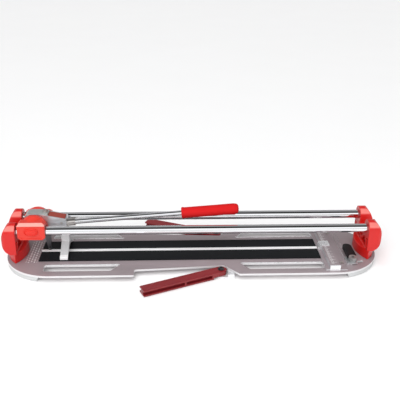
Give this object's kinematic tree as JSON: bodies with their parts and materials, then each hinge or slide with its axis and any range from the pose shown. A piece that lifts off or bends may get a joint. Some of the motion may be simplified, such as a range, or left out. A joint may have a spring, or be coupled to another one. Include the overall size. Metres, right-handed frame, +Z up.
{
  "type": "tile cutter",
  "caption": "Manual tile cutter: long round-ended base with black pads, guide bars on cast end supports, sliding carriage with a scoring wheel and lever, fence, swing-out side arms.",
  "frame": {"origin": "on the floor under the middle of the base, where the rubber feet stand", "axes": "+X along the guide bars towards the fence, -Y towards the user, +Z up"},
  "size_m": [0.872, 0.3598, 0.1371],
  "materials": {
    "plate_paint": "satin lilac-grey paint",
    "end_plastic": "light grey moulded plastic",
    "black_rubber": "matt black rubber",
    "zinc_steel": "zinc plated steel",
    "galvanised": "plain pressed steel",
    "bright_aluminium": "bright drawn aluminium",
    "scale_print": "satin grey with plain engraved lines",
    "red_casting": "glossy red enamel on die-cast metal",
    "chrome": "polished chromed steel",
    "fence_aluminium": "satin extruded aluminium",
    "dark_steel": "blackened steel",
    "cast_grey": "blasted grey casting",
    "black_plastic": "black moulded plastic",
    "arm_paint": "dark red enamel",
    "red_plastic": "glossy red plastic",
    "bronze": "plain sintered bronze",
    "cover_red": "brick red paint",
    "carbide": "ground carbide"
  },
  "bodies": {
    "base": {"base_plate": "plate_paint", "end_foot_left": "end_plastic", "end_foot_right": "end_plastic", "rubber_feet": "black_rubber", "foot_screws": "zinc_steel", "under_beam": "galvanised", "beam_screws": "zinc_steel", "pad_front": "black_rubber", "pad_back": "black_rubber", "cutting_spine": "bright_aluminium", "scale_plate": "scale_print", "support_left": "red_casting", "support_right": "red_casting", "support_bolts": "zinc_steel", "guide_bar_front": "chrome", "guide_bar_back": "chrome", "bar_end_bolts": "zinc_steel", "fence": "fence_aluminium", "fence_end_caps": "bright_aluminium", "fence_centre_block": "bright_aluminium", "fence_screws": "zinc_steel", "gauge_track": "galvanised", "arm_bracket_front": "galvanised", "arm_bracket_back": "galvanised", "bracket_screws": "zinc_steel", "arm_bolt_front": "zinc_steel", "arm_bolt_back": "zinc_steel"},
    "carriage": {"slider_front": "red_plastic", "slider_back": "red_plastic", "slider_badges": "red_plastic", "slider_bushes": "black_plastic", "carriage_bridge": "galvanised", "bridge_pins": "zinc_steel", "pivot_pin": "zinc_steel", "pivot_washers": "zinc_steel"},
    "handle": {"handle_head": "cast_grey", "pivot_bush": "bronze", "handle_yoke": "galvanised", "yoke_cover": "cover_red", "tube_socket": "zinc_steel", "handle_tube": "chrome", "handle_grip": "red_plastic", "grip_end_cap": "red_plastic", "wheel_holder": "dark_steel", "holder_bolt": "zinc_steel", "wheel_axle": "zinc_steel", "breaker_pin": "zinc_steel", "breaker_spring": "dark_steel"},
    "wheel": {"scoring_wheel": "carbide"},
    "breaker": {"breaker_foot": "galvanised", "breaker_tips": "bright_aluminium"},
    "arm_f": {"arm_front": "arm_paint"},
    "arm_b": {"arm_back": "arm_paint"},
    "gauge": {"gauge_slider": "galvanised", "clamp_bolt": "dark_steel"},
    "clamp": {"clamp_hub": "cast_grey", "clamp_lever": "black_plastic"}
  },
  "joints": [
    {"name": "carriage_slide", "type": "slide", "parent": "base", "child": "carriage", "axis": [1, 0, 0], "range_m": [0, 0.58]},
    {"name": "handle_lift", "type": "hinge", "parent": "carriage", "child": "handle", "pos_m": [-0.366, 0, 0.108], "axis": [0, -1, 0], "range_deg": [0, 28]},
    {"name": "wheel_spin", "type": "hinge", "parent": "handle", "child": "wheel", "pos_m": [-0.338, 0, 0.0267], "axis": [0, 1, 0], "continuous": true},
    {"name": "breaker_tilt", "type": "hinge", "parent": "handle", "child": "breaker", "pos_m": [-0.303, 0, 0.099], "axis": [0, 1, 0], "range_deg": [-5, 5], "stiffness_Nm_per_rad": 2},
    {"name": "arm_front_swing", "type": "hinge", "parent": "base", "child": "arm_f", "pos_m": [0.061, -0.09, 0.01], "axis": [0, 0, 1], "range_deg": [-19.5, 66]},
    {"name": "arm_back_swing", "type": "hinge", "parent": "base", "child": "arm_b", "pos_m": [0.061, 0.09, 0.01], "axis": [0, 0, -1], "range_deg": [-19.5, 66]},
    {"name": "gauge_slide", "type": "slide", "parent": "base", "child": "gauge", "axis": [0, 1, 0], "range_m": [0, 0.1]},
    {"name": "clamp_swing", "type": "hinge", "parent": "gauge", "child": "clamp", "pos_m": [0.368, -0.067, 0.0256], "axis": [0, 0, 1], "range_deg": [0, 24]}
  ]
}
